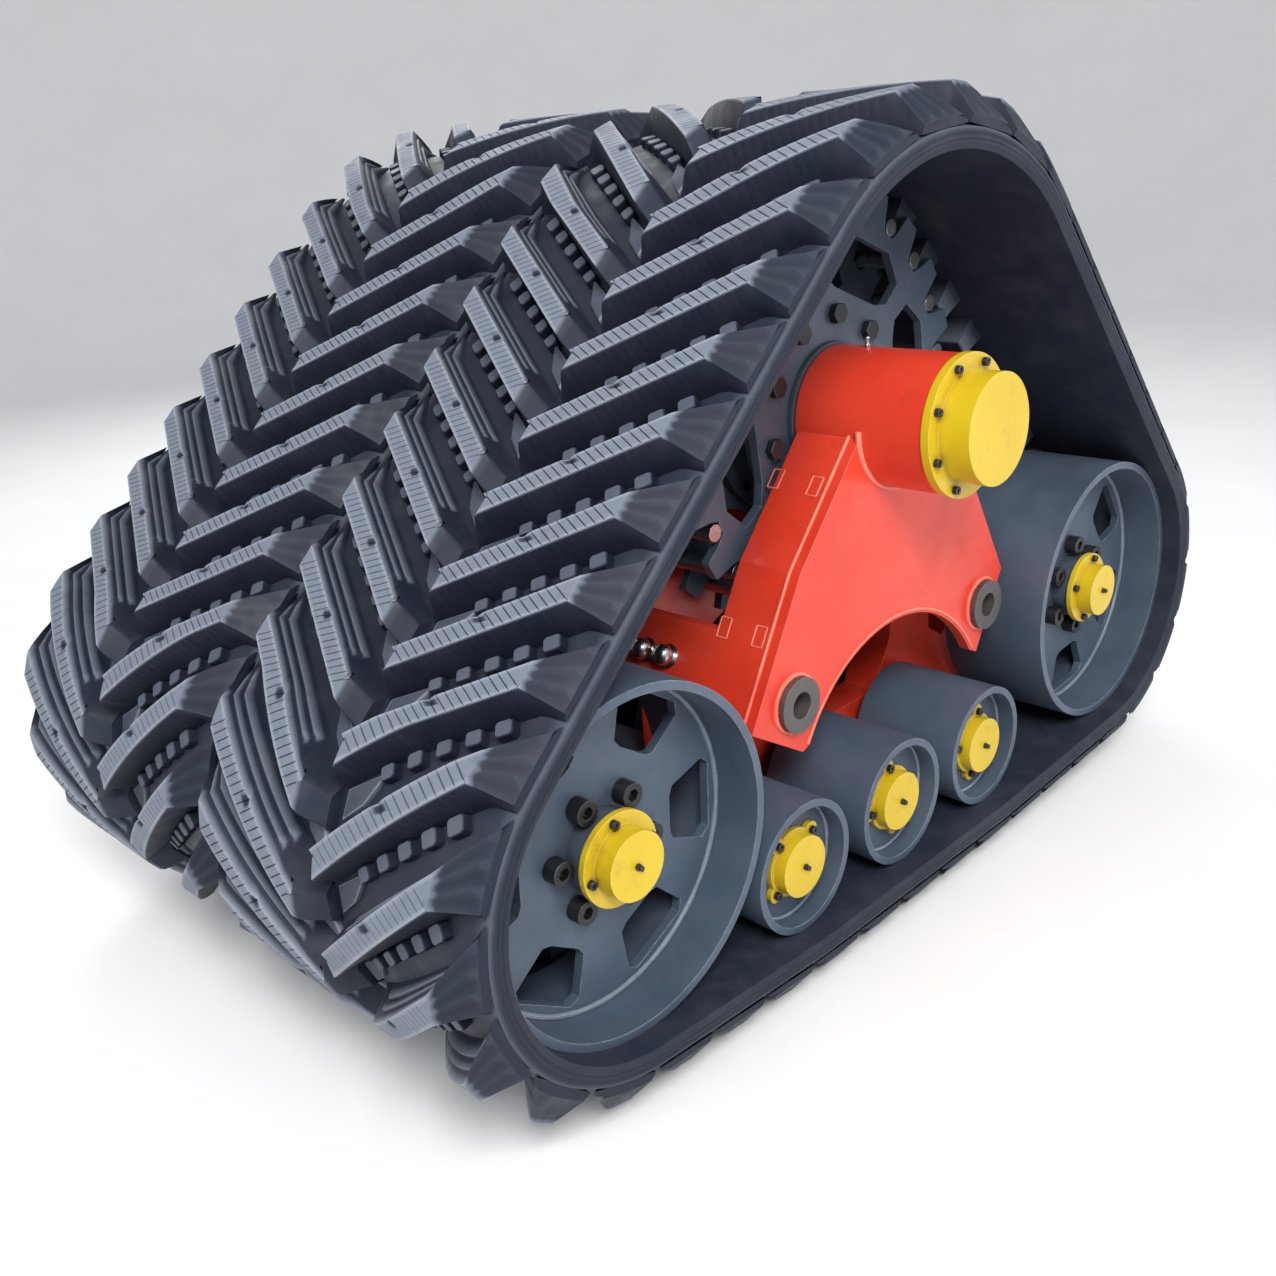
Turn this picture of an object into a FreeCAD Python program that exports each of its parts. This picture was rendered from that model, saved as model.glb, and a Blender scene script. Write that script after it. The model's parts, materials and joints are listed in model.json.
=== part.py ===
import FreeCAD, Part
import math
import os
from FreeCAD import Placement, Rotation, Vector

# Twin-track crawler chassis, in millimetres.
# X runs along the travel direction (front idlers at -X), Y across the tracks and Z up.
# The origin is on the ground, midway between the two tracks.
# "Depth" is measured inward from the outer rim face of the wheels of one track unit,
# and side is -1 for the near track unit and +1 for the far one.

os.makedirs("parts", exist_ok=True)
doc = FreeCAD.newDocument("TrackedChassis")

# ---------------------------------------------------------------- driving dimensions
SIZES = [
    ("mid_y", 577.5, "outer rim face to mid-plane"),
    ("belt_width", 610.0, "rubber track width"),
    ("belt_edge", -41.0, "depth of the outer edge of the rubber track"),
    ("belt_thick", 40.0, "carcass thickness"),
    ("tread_high", 55.0, "tread bar height"),
    ("tread_top", 34.0, "tread bar width at its top"),
    ("tread_foot", 60.0, "tread bar width at its foot"),
    ("tread_sweep", 200.0, "how far a bar runs back from spine to edge"),
    ("span_step", 1.2, "how much narrower each further span of a bar is on each side"),
    ("tread_pitch", 117.0, "nominal bar spacing"),
    ("cord_depth", 15.0, "height of the belt's cords, where its length stays the same"),
    ("guide_pitch", 108.0, "nominal guide lug spacing"),
    ("guide_high", 50.0, "guide lug height"),
    ("guide_long", 56.0, "guide lug length at its foot"),
    ("guide_depth", 218.0, "depth where the guide lugs start"),
    ("track_mid", 264.0, "depth of the middle of a track"),
    ("roll_gap", 0.5, "gap between wheels and rubber"),
    ("idler_r", 254.0, "idler rim radius"),
    ("idler_wall", 13.0, "idler rim wall"),
    ("idler_x", 655.3, "half the idler axle spacing"),
    ("idler_lift", 22.0, "idler rims above the roller rims"),
    ("wheel_wide", 205.0, "width of one wheel half"),
    ("web_depth", 80.0, "depth of the idler web"),
    ("web_thick", 16.0, "idler web thickness"),
    ("axle_r", 45.0, "idler axle radius"),
    ("hub_r", 62.0, "idler hub nose radius"),
    ("flange_r", 108.0, "idler hub flange radius"),
    ("bolt_ring", 84.0, "wheel bolt circle radius"),
    ("bolt_r", 12.0, "wheel bolt shank radius"),
    ("bolt_head_r", 18.0, "wheel bolt head radius"),
    ("bolt_head_high", 24.0, "wheel bolt head height"),
    ("cap_flange_r", 69.0, "wheel cap flange radius"),
    ("cap_nose_r", 50.0, "wheel cap nose radius"),
    ("cap_ring", 59.0, "wheel cap screw circle radius"),
    ("cap_flange_thick", 10.0, "wheel cap flange thickness"),
    ("idler_cap", 5.0, "depth of the idler cap face"),
    ("screw_r", 4.0, "cap screw shank radius"),
    ("screw_head_r", 6.5, "cap screw head radius"),
    ("screw_head_high", 8.0, "cap screw head height"),
    ("roller_r", 109.5, "roller rim radius"),
    ("roller_wall", 12.0, "roller rim wall"),
    ("roller_first", -306.8, "first roller position"),
    ("roller_step", 262.1, "roller spacing"),
    ("roller_end", 34.0, "depth of the roller end plate"),
    ("roller_cap", 2.0, "depth of the roller cap face"),
    ("roller_shaft_r", 25.0, "roller shaft radius"),
    ("running", 0.05, "radial running clearance"),
    ("hub_x", 35.7, "sprocket axis position"),
    ("hub_high", 828.5, "sprocket axis height"),
    ("wrap_r", 390.0, "rubber wrap radius over the sprocket"),
    ("tube_r", 107.0, "hub tube outer radius"),
    ("tube_bore", 92.0, "hub tube inner radius"),
    ("tube_out", -44.0, "depth of the hub tube outer end"),
    ("tube_in", 188.0, "depth of the hub tube inner end"),
    ("hubcap_flange_r", 110.0, "hub cap flange radius"),
    ("hubcap_nose_r", 85.0, "hub cap nose radius"),
    ("hubcap_face", -110.0, "depth of the hub cap face"),
    ("hubcap_ring", 98.0, "hub cap screw circle radius"),
    ("drive_r", 45.0, "drive shaft radius"),
    ("disc_depth", 200.0, "depth of the outer sprocket disc"),
    ("disc_thick", 16.0, "sprocket disc thickness"),
    ("tooth_r", 360.0, "sprocket tooth tip radius"),
    ("notch_r", 308.0, "sprocket notch bottom radius"),
    ("tooth_count", 22.0, "sprocket teeth"),
    ("bar_ring", 322.0, "drive bar circle radius"),
    ("bar_r", 14.0, "drive bar radius"),
    ("disc_bolt_ring", 155.0, "sprocket bolt circle radius"),
    ("plate_depth", 66.0, "depth of the outer side plate"),
    ("plate_thick", 20.0, "side plate thickness"),
    ("inner_depth", 362.0, "depth of the inner side plate"),
    ("leg_depth", 184.0, "depth where the inclined leg ends, clear of the sprocket"),
    ("sheet_thick", 14.0, "inclined web thickness"),
    ("bush_r", 45.0, "pivot bush outer radius"),
    ("bush_bore", 22.0, "pivot bush bore radius"),
    ("bush_face", 51.0, "depth of the pivot bush face"),
    ("bush_high", 440.0, "pivot bush height"),
    ("bush_front_x", -243.0, "front pivot bush position"),
    ("bush_rear_x", 299.0, "rear pivot bush position"),
    ("beam_depth", 229.0, "depth of the centre beam"),
    ("beam_wide", 70.0, "centre beam width"),
    ("arm_depth", 244.0, "depth of the tensioner arm"),
    ("arm_wide", 40.0, "tensioner arm width"),
    ("bearing_r", 62.0, "idler bearing outer radius"),
    ("cross_r", 44.5, "cross tube outer radius"),
    ("cross_bore", 36.5, "cross tube inner radius"),
]
sheet = doc.addObject("Spreadsheet::Sheet", "Params")
for row, (alias, number, note) in enumerate(SIZES, start=1):
    sheet.set(f"A{row}", note)
    sheet.set(f"B{row}", str(number))
    sheet.setAlias(f"B{row}", alias)
doc.recompute()


def size(alias):
    """Value of one driving dimension."""
    return float(sheet.get(alias))


def p(alias):
    """Name of a driving dimension inside an expression."""
    return f"Params.{alias}"


SIDES = (("near", -1), ("far", 1))
roller_z = size("tread_high") + size("belt_thick") + size("roll_gap") + size("roller_r")
idler_z = roller_z - size("roller_r") + size("idler_lift") + size("idler_r")
ROLLER_Z = f"({p('tread_high')}+{p('belt_thick')}+{p('roll_gap')}+{p('roller_r')})"
IDLER_Z = f"({ROLLER_Z}-{p('roller_r')}+{p('idler_lift')}+{p('idler_r')})"
HUB = (p("hub_x"), p("hub_high"))
roller_x = [size("roller_first") + n * size("roller_step") for n in range(3)]
NODES = []


# ---------------------------------------------------------------- parametric helpers
def node(obj, label):
    """Mark an object as a finished piece under its own name."""
    obj.Label = label
    NODES.append(obj)
    return obj


def across(side, depth):
    """Expression for the Y position at a depth on one side."""
    return f"{side}*({p('mid_y')}-({depth}))"


def rod(name, radius, x, z, y_a, y_b):
    """Round bar along Y between two Y expressions."""
    bar = doc.addObject("Part::Cylinder", name)
    bar.Placement = Placement(Vector(), Rotation(Vector(1, 0, 0), -90))
    bar.setExpression("Radius", radius)
    bar.setExpression("Height", f"abs(({y_b})-({y_a}))")
    bar.setExpression(".Placement.Base.x", str(x))
    bar.setExpression(".Placement.Base.y", f"min({y_a};{y_b})")
    bar.setExpression(".Placement.Base.z", str(z))
    return bar


def cut(name, base, tool):
    """Base minus tool."""
    result = doc.addObject("Part::Cut", name)
    result.Base = base
    result.Tool = tool
    return result


def fuse(name, shapes):
    """All the shapes joined into one."""
    result = doc.addObject("Part::MultiFuse", name)
    result.Shapes = shapes
    result.Refine = True
    return result


def pipe(name, outer, inner, x, z, y_a, y_b):
    """Tube along Y."""
    skin = rod(name + "_skin", outer, x, z, y_a, y_b)
    hole = rod(name + "_hole", inner, x, z, f"min({y_a};{y_b})-1", f"max({y_a};{y_b})+1")
    return cut(name, skin, hole)


def block(name, x_a, x_b, y_a, y_b, z_a, z_b):
    """Box between pairs of expressions."""
    box = doc.addObject("Part::Box", name)
    box.setExpression("Length", f"({x_b})-({x_a})")
    box.setExpression("Width", f"abs(({y_b})-({y_a}))")
    box.setExpression("Height", f"({z_b})-({z_a})")
    box.setExpression(".Placement.Base.x", str(x_a))
    box.setExpression(".Placement.Base.y", f"min({y_a};{y_b})")
    box.setExpression(".Placement.Base.z", str(z_a))
    return box


def outline(name, wires):
    """Sketch in the XZ plane from closed wires of Part lines, arcs and circles."""
    sketch = doc.addObject("Sketcher::SketchObject", name)
    sketch.Placement = Placement(Vector(), Rotation(Vector(1, 0, 0), 90))
    for wire in wires:
        sketch.addGeometry(wire, False)
    return sketch


def loop(points):
    """Closed polyline as sketch lines."""
    corners = [Vector(x, z, 0) for x, z in points]
    return [Part.LineSegment(a, b) for a, b in zip(corners, corners[1:] + corners[:1])]


def slab(name, wires, side, depth, thick):
    """Flat piece cut from a plate that lies across Y, between depth and depth + thick."""
    sketch = outline(name + "_outline", wires)
    solid = doc.addObject("Part::Extrusion", name)
    solid.Base = sketch
    solid.DirMode = "Custom"
    solid.Dir = Vector(0, 1, 0)
    solid.Solid = True
    solid.setExpression("LengthFwd", thick)
    start = f"{across(side, depth)}" if side < 0 else f"{across(side, f'{depth}+{thick}')}"
    solid.setExpression(".Placement.Base.y", start)
    return solid


def group(name, shapes):
    """Several separate solids kept as one piece list."""
    feature = doc.addObject("Part::Feature", name)
    feature.Shape = Part.makeCompound(shapes)
    return feature


def spun(steps, x, z, side, bore=0.0):
    """Turned solid along Y from (radius, depth_a, depth_b) steps, with an optional bore."""
    body = None
    for radius, depth_a, depth_b in steps:
        y_a = side * (size("mid_y") - depth_a)
        y_b = side * (size("mid_y") - depth_b)
        part = Part.makeCylinder(radius, abs(y_b - y_a), Vector(x, min(y_a, y_b), z), Vector(0, 1, 0))
        body = part if body is None else body.fuse(part)
    if bore:
        y_all = size("mid_y") + 200
        body = body.cut(Part.makeCylinder(bore, 2 * y_all, Vector(x, -y_all, z), Vector(0, 1, 0)))
    return body.removeSplitter()


def around(x, z, radius, count, start):
    """Points on a circle in the XZ plane."""
    turns = [math.radians(start) + 2 * math.pi * n / count for n in range(count)]
    return [(x + radius * math.cos(a), z + radius * math.sin(a)) for a in turns]


def hexagon(x, y, z, flats, length, direction):
    """Hexagonal prism that starts at (x, y, z) and runs along +Y or -Y."""
    corner = flats / math.sqrt(3)
    points = [Vector(x + corner * math.cos(math.radians(60 * n)), y,
                     z + corner * math.sin(math.radians(60 * n))) for n in range(7)]
    return Part.Face(Part.makePolygon(points)).extrude(Vector(0, direction * length, 0))


def socket_screw(x, z, side, seat, head_r, head_high, shank_r, shank_long):
    """Socket head screw whose head sits on depth "seat" and whose shank runs inward."""
    steps = [(head_r, seat - head_high, seat), (shank_r, seat, seat + shank_long)]
    y_top = side * (size("mid_y") - seat + head_high)
    recess = hexagon(x, y_top, z, head_r * 0.95, head_high * 0.55, -side)
    return spun(steps, x, z, side).cut(recess)


def hex_bolt(x, z, side, seat, flats, head_high, shank_r, shank_long):
    """Hexagon bolt whose head sits on depth "seat"."""
    y_top = side * (size("mid_y") - seat + head_high)
    head = hexagon(x, y_top, z, flats, head_high, -side)
    return head.fuse(spun([(shank_r, seat, seat + shank_long)], x, z, side)).removeSplitter()


# ---------------------------------------------------------------- rubber tracks
def track_circles():
    """Wrap circles of a track's inner surface, anticlockwise seen with X right and Z up."""
    gap = size("roll_gap")
    return [
        (-size("idler_x"), idler_z, size("idler_r") + gap),
        (roller_x[0], roller_z, size("roller_r") + gap),
        (roller_x[2], roller_z, size("roller_r") + gap),
        (size("idler_x"), idler_z, size("idler_r") + gap),
        (size("hub_x"), size("hub_high"), size("wrap_r") + gap),
    ]


def track_path(offset):
    """Arcs and straights at an outward offset: (start, length, kind, data) in order."""
    circles = track_circles()
    leave = []
    for (xa, za, ra), (xb, zb, rb) in zip(circles, circles[1:] + circles[:1]):
        span = math.hypot(xb - xa, zb - za)
        leave.append(math.atan2(zb - za, xb - xa) - math.pi / 2 + math.asin((ra - rb) / span))
    pieces = []
    start = 0.0
    for n, (x, z, r) in enumerate(circles):
        a_in = leave[n - 1]
        turn = (leave[n] - a_in) % (2 * math.pi)
        length = (r + offset) * turn
        pieces.append((start, length, "arc", (x, z, r + offset, a_in)))
        start += length
        xb, zb, rb = circles[(n + 1) % len(circles)]
        normal = (math.cos(leave[n]), math.sin(leave[n]))
        a = (x + (r + offset) * normal[0], z + (r + offset) * normal[1])
        b = (xb + (rb + offset) * normal[0], zb + (rb + offset) * normal[1])
        length = math.hypot(b[0] - a[0], b[1] - a[1])
        pieces.append((start, length, "line", (a, b, normal)))
        start += length
    return pieces, start


def track_point(pieces, total, s):
    """Position, forward tangent and outward normal (x, z pairs) at arc length s."""
    s = s % total
    for start, length, kind, data in pieces:
        if s <= start + length:
            break
    along = s - start
    if kind == "arc":
        x, z, r, a_in = data
        a = a_in + along / r
        normal = (math.cos(a), math.sin(a))
        spot = (x + r * normal[0], z + r * normal[1])
    else:
        a, b, normal = data
        share = along / length
        spot = (a[0] + share * (b[0] - a[0]), a[1] + share * (b[1] - a[1]))
    return spot, (-normal[1], normal[0]), normal


def track_wire(offset):
    """Closed wire of the track path in the plane Y = 0."""
    edges = []
    for start, length, kind, data in track_path(offset)[0]:
        if kind == "arc":
            x, z, r, a_in = data
            ends = [Vector(x + r * math.cos(a), 0, z + r * math.sin(a))
                    for a in (a_in, a_in + length / r / 2, a_in + length / r)]
            edges.append(Part.Arc(*ends).toShape())
        else:
            a, b, normal = data
            edges.append(Part.makeLine(Vector(a[0], 0, a[1]), Vector(b[0], 0, b[1])))
    return Part.Wire(Part.__sortEdges__(edges))


def lug_block(path, ends, profile):
    """Six-sided lug between two ends, each (s, y, high).

    profile is (half_foot, half_top, full_high, sink, base), with base the offset of
    the lug's foot from the path.
    """
    half_foot, half_top, full_high, sink, base = profile
    spot, tangent, normal = track_point(path[0], path[1], (ends[0][0] + ends[1][0]) / 2)
    dip = 0.0
    for s, y, high in ends:
        for along in (-half_top, half_top) if full_high > 0 else ():
            there, _, out = track_point(path[0], path[1], s + along)
            reach = s - (ends[0][0] + ends[1][0]) / 2 + along
            corner = (spot[0] + reach * tangent[0] + (base + high) * normal[0],
                      spot[1] + reach * tangent[1] + (base + high) * normal[1])
            above = (corner[0] - there[0]) * out[0] + (corner[1] - there[1]) * out[1]
            dip = max(dip, above - base - high)
    batter = (half_foot - half_top) / (abs(full_high) + sink)
    sign = 1 if full_high > 0 else -1
    rings = []
    for s, y, high in ends:
        top = high - dip
        crown = half_foot - batter * (abs(top) + sink)
        corners = []
        low = base - sign * sink
        for along, out in ((-half_foot, low), (half_foot, low), (crown, base + top), (-crown, base + top)):
            reach = s - (ends[0][0] + ends[1][0]) / 2 + along
            corners.append(Vector(spot[0] + reach * tangent[0] + out * normal[0], y,
                                  spot[1] + reach * tangent[1] + out * normal[1]))
        rings.append(corners)
    a, b = rings
    sides = [a, b] + [[a[n], a[(n + 1) % 4], b[(n + 1) % 4], b[n]] for n in range(4)]
    faces = [Part.Face(Part.makePolygon(corners + corners[:1])) for corners in sides]
    solid = Part.makeSolid(Part.makeShell(faces))
    if solid.Volume < 0:
        solid.reverse()
    return solid


def make_track():
    """One rubber track of the near unit as a single moulded solid."""
    edge_y = -(size("mid_y") - size("belt_edge"))
    mid_y = -(size("mid_y") - size("track_mid"))
    face = Part.Face([track_wire(size("belt_thick")), track_wire(0.0)])
    face.validate()
    belt = face.extrude(Vector(0, size("belt_width"), 0))
    belt.translate(Vector(0, edge_y, 0))
    lugs = []
    cords = track_path(size("cord_depth"))
    count = round(cords[1] / size("tread_pitch"))
    half_wide = size("belt_width") / 2
    high = size("tread_high")
    base = size("belt_thick") - size("cord_depth")
    spans = (((0.02, 1.0), (0.46, 1.0)), ((0.44, 1.0), (0.88, 1.0)), ((0.87, 1.0), (0.985, 0.15)))
    for n in range(count):
        for half, shift in ((-1, 0.5), (1, 0.0)):
            apex = cords[1] * (n + shift) / count
            for step, span in enumerate(spans):
                ends = [(apex - size("tread_sweep") * share, mid_y + half * half_wide * share, high * tall)
                        for share, tall in span]
                inset = step * size("span_step")
                profile = (size("tread_foot") / 2 - inset, size("tread_top") / 2 - inset, high, 8.0, base)
                lugs.append(lug_block(cords, ends, profile))
    inner = track_path(0.0)
    count = round(inner[1] / size("guide_pitch"))
    high = size("guide_high")
    profile = (size("guide_long") / 2, size("guide_long") * 0.31, -high, 5.0, 0.0)
    reach = size("track_mid") - size("guide_depth")
    for n in range(count):
        s = inner[1] * n / count
        ends = [(s, y, -high) for y in (mid_y - reach, mid_y + reach)]
        lugs.append(lug_block(inner, ends, profile))
    return belt.fuse(lugs)


near_track = make_track()
far_track = near_track.mirror(Vector(0, 0, 0), Vector(0, 1, 0))
for name, shape in (("track_near", near_track), ("track_far", far_track)):
    feature = doc.addObject("Part::Feature", name)
    feature.Shape = shape
    node(feature, name)

# ---------------------------------------------------------------- welded frame of each unit
plate_foot_z = 424.0
PLATE = [(-63, 826), (-221.5, 643), (-345.4, plate_foot_z), (-225.5, 350), (-208, 356)]
PLATE_REAR = [(264, 361), (286.5, 350), (367, 488), (268, 663), (134, 826)]
ARCH_TOP = (30.5, 493.4)
FRONT_EDGE = [(-63, 826), (-221.5, 643), (-345.4, plate_foot_z)]
REAR_EDGE = [(134, 826), (268, 663), (367, 488)]
BUSHES = (p("bush_front_x"), p("bush_rear_x"))


def plate_wires():
    """Outline of a side plate: two legs with an arch between them."""
    points = [Vector(x, z, 0) for x, z in PLATE]
    rear = [Vector(x, z, 0) for x, z in PLATE_REAR]
    lines = [Part.LineSegment(a, b) for a, b in zip(points, points[1:])]
    lines.append(Part.Arc(points[-1], Vector(ARCH_TOP[0], ARCH_TOP[1], 0), rear[0]))
    lines += [Part.LineSegment(a, b) for a, b in zip(rear, rear[1:])]
    lines.append(Part.LineSegment(rear[-1], points[0]))
    return [lines]


def side_plate(name, side, depth):
    """Side plate with its upper edge cut to the hub tube and a hole for each pivot bush."""
    plate = slab(name + "_plate", plate_wires(), side, depth, p("plate_thick"))
    y_a = across(side, f"{depth}-1")
    y_b = across(side, f"{depth}+{p('plate_thick')}+1")
    tools = [rod(name + "_seat", p("tube_r"), HUB[0], HUB[1], y_a, y_b)]
    for n, x in enumerate(BUSHES):
        tools.append(rod(f"{name}_bush{n}", p("bush_r"), x, p("bush_high"), y_a, y_b))
    return cut(name, plate, fuse(name + "_holes", tools))


def bent_sheet(edge, inward):
    """Outline of a bent sheet that follows an edge, with its thickness towards +X or -X."""
    thick = size("sheet_thick")
    shifted = [(x + inward * thick * 1.25, z) for x, z in edge]
    return [loop(edge + shifted[::-1])]


# Between these heights each web narrows to a leg, which leaves room for the sprocket.
notch_low = 545.0
notch_high = 900.0
notch_reach = 600.0


def web(name, side, edge, inward):
    """Inclined web: a leg beside the sprocket with a wide foot below it."""
    plate = slab(name + "_sheet", bent_sheet(edge, inward), side,
                 f"{p('plate_depth')}+{p('plate_thick')}",
                 f"({p('inner_depth')}-{p('plate_depth')}-{p('plate_thick')})")
    notch = block(name + "_notch", -notch_reach, notch_reach, across(side, p("leg_depth")),
                  across(side, f"{p('inner_depth')}+1"), notch_low, notch_high)
    seat = rod(name + "_seat", p("tube_r"), HUB[0], HUB[1], across(side, 60), across(side, 400))
    return cut(name, cut(name + "_leg", plate, notch), seat)


BEAM = [(-345, 160), (470, 160), (675, 290), (640, 450), (430, 300), (385, 330), (367, 488),
        (268, 488), (250, 350), (200, 262), (-60, 262), (-100, 342), (-200, 342), (-232, plate_foot_z),
        (-345, plate_foot_z)]


def centre_beam(name, side):
    """Longitudinal beam between the wheel halves, with roller bores and the rear axle housing."""
    wires = [loop(BEAM)]
    body = slab(name + "_body", wires, side, p("beam_depth"), p("beam_wide"))
    y_a = across(side, p("beam_depth"))
    y_b = across(side, f"{p('beam_depth')}+{p('beam_wide')}")
    eye = rod(name + "_eye", f"{p('bearing_r')}+18", p("idler_x"), IDLER_Z, y_a, y_b)
    y_lo = across(side, f"{p('beam_depth')}-1")
    y_hi = across(side, f"{p('beam_depth')}+{p('beam_wide')}+1")
    tools = [rod(name + "_bore", p("bearing_r"), p("idler_x"), IDLER_Z, y_lo, y_hi)]
    for n in range(3):
        x = f"{p('roller_first')}+{n}*{p('roller_step')}"
        tools.append(rod(f"{name}_bore{n}", f"{p('roller_shaft_r')}+6", x, ROLLER_Z, y_lo, y_hi))
    tools.append(block(name + "_sleeve", -346, -110, across(side, f"{p('arm_depth')}-0.5"),
                       across(side, f"{p('arm_depth')}+{p('arm_wide')}+0.5"), 269.5, 330.5))
    return cut(name, fuse(name + "_solid", [body, eye]), fuse(name + "_holes", tools))


for tag, side in SIDES:
    node(side_plate(f"outer_plate_{tag}", side, p("plate_depth")), f"outer_plate_{tag}")
    node(side_plate(f"inner_plate_{tag}", side, p("inner_depth")), f"inner_plate_{tag}")
    node(web(f"front_web_{tag}", side, FRONT_EDGE, 1), f"front_web_{tag}")
    node(web(f"rear_web_{tag}", side, REAR_EDGE, -1), f"rear_web_{tag}")
    node(centre_beam(f"centre_beam_{tag}", side), f"centre_beam_{tag}")
    node(pipe(f"hub_tube_{tag}", p("tube_r"), p("tube_bore"), HUB[0], HUB[1],
              across(side, p("tube_out")), across(side, p("tube_in"))), f"hub_tube_{tag}")

centre_start = f"({p('disc_depth')}+2*({p('track_mid')}-{p('disc_depth')})+12)"
node(pipe("centre_tube", p("tube_r"), p("tube_bore"), HUB[0], HUB[1],
          across(-1, centre_start), across(1, centre_start)), "centre_tube")

cross_z = 490.0
cross = []
for x in (-160.0, 215.0):
    y_end = size("mid_y") - size("inner_depth") - size("plate_thick")
    outer_skin = Part.makeCylinder(size("cross_r"), 2 * y_end, Vector(x, -y_end, cross_z), Vector(0, 1, 0))
    hollow = Part.makeCylinder(size("cross_bore"), 2 * y_end, Vector(x, -y_end, cross_z), Vector(0, 1, 0))
    cross.append(outer_skin.cut(hollow))
node(group("cross_tubes", cross), "cross_tubes")

bushes = []
for tag, side in SIDES:
    for x in (size("bush_front_x"), size("bush_rear_x")):
        z = size("bush_high")
        bushes.append(spun([(size("bush_r"), size("bush_face"), size("plate_depth") + size("plate_thick"))],
                           x, z, side, size("bush_bore")))
        inner_end = size("inner_depth") + size("plate_thick") + 8
        bushes.append(spun([(size("bush_r"), size("inner_depth"), inner_end)],
                           x, z, side, size("bush_bore")))
node(group("pivot_bushes", bushes), "pivot_bushes")

# ---------------------------------------------------------------- hub caps and their screws
caps = []
cap_screws = []
nipples = []
for tag, side in SIDES:
    x, z = size("hub_x"), size("hub_high")
    flange_out = size("tube_out") - 14
    cap = spun([(size("hubcap_flange_r"), flange_out, size("tube_out")),
                (size("hubcap_nose_r"), size("hubcap_face"), flange_out)], x, z, side)
    cap = cap.cut(spun([(size("hubcap_nose_r") - 8, size("hubcap_face") + 8, size("tube_out"))], x, z, side))
    for sx, sz in around(x, z, size("hubcap_ring"), 8, 22.5):
        cap = cap.cut(spun([(size("screw_r") + 0.2, flange_out - 1, size("tube_out") + 1)], sx, sz, side))
        cap_screws.append(socket_screw(sx, sz, side, flange_out, size("screw_head_r"),
                                       size("screw_head_high"), size("screw_r"), 13.5))
    caps.append(cap)
    y = side * (size("mid_y") - 126)
    base = Part.makeCylinder(5.0, 6.0, Vector(x, y, z + size("tube_r") - 0.5))
    stem = Part.makeCylinder(3.0, 8.0, Vector(x, y, z + size("tube_r") + 5.0))
    ball = Part.makeSphere(4.0, Vector(x, y, z + size("tube_r") + 14.0))
    nipple = base.fuse([stem, ball]).cut(
        Part.makeCylinder(size("tube_r"), 60, Vector(x, y - 30, z), Vector(0, 1, 0)))
    nipples.append(nipple.removeSplitter())
node(group("hub_caps", caps), "hub_caps")
node(group("hub_cap_screws", cap_screws), "hub_cap_screws")
node(group("tube_nipples", nipples), "tube_nipples")

# ---------------------------------------------------------------- foot bolts of the front webs
foot_bolts = []
(knee_x, knee_z), (toe_x, toe_z) = FRONT_EDGE[1:]
slope = math.atan2(knee_z - toe_z, knee_x - toe_x)
outward = Vector(-math.sin(slope), 0, math.cos(slope))
for tag, side in SIDES:
    for depth in (268.0, 316.0):
        z = 492.0
        x = toe_x + (z - toe_z) / math.tan(slope)
        foot_point = Vector(x, side * (size("mid_y") - depth), z)
        washer = Part.makeCylinder(20.0, 4.0, foot_point + outward * 0.02, outward)
        head = Part.makeCylinder(16.0, 10.0, foot_point + outward * 4, outward)
        dome = Part.makeSphere(18.0, foot_point + outward * 14)
        dome = dome.cut(Part.makeCylinder(40, 40, foot_point + outward * 13, outward * -1))
        foot_bolts.append(washer.fuse([head, dome]).removeSplitter())
node(group("foot_bolts", foot_bolts), "foot_bolts")

# ---------------------------------------------------------------- bearings fixed in the frame
drive_bearings = []
roller_bearings = []
rear_bearings = []
front_bearings = []
for tag, side in SIDES:
    x, z = size("hub_x"), size("hub_high")
    bore = size("drive_r") + size("running")
    for depth_a, depth_b in ((-30.0, 20.0), (130.0, 180.0), (350.0, 400.0)):
        drive_bearings.append(spun([(size("tube_bore"), depth_a, depth_b)], x, z, side, bore))
    span = (size("beam_depth") + 5, size("beam_depth") + size("beam_wide") - 5)
    for x in roller_x:
        roller_bearings.append(spun([(size("roller_shaft_r") + 6, *span)], x, roller_z, side,
                                    size("roller_shaft_r") + size("running")))
    rear_bearings.append(spun([(size("bearing_r"), *span)], size("idler_x"), idler_z, side,
                              size("axle_r") + size("running")))
    span = (size("arm_depth"), size("arm_depth") + size("arm_wide"))
    front_bearings.append(spun([(size("bearing_r"), *span)], -size("idler_x"), idler_z, side,
                               size("axle_r") + size("running")))
node(group("drive_bearings", drive_bearings), "drive_bearings")
node(group("roller_bearings", roller_bearings), "roller_bearings")
node(group("rear_idler_bearings", rear_bearings), "rear_idler_bearings")
node(group("front_idler_bearings", front_bearings), "front_idler_bearings")

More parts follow.
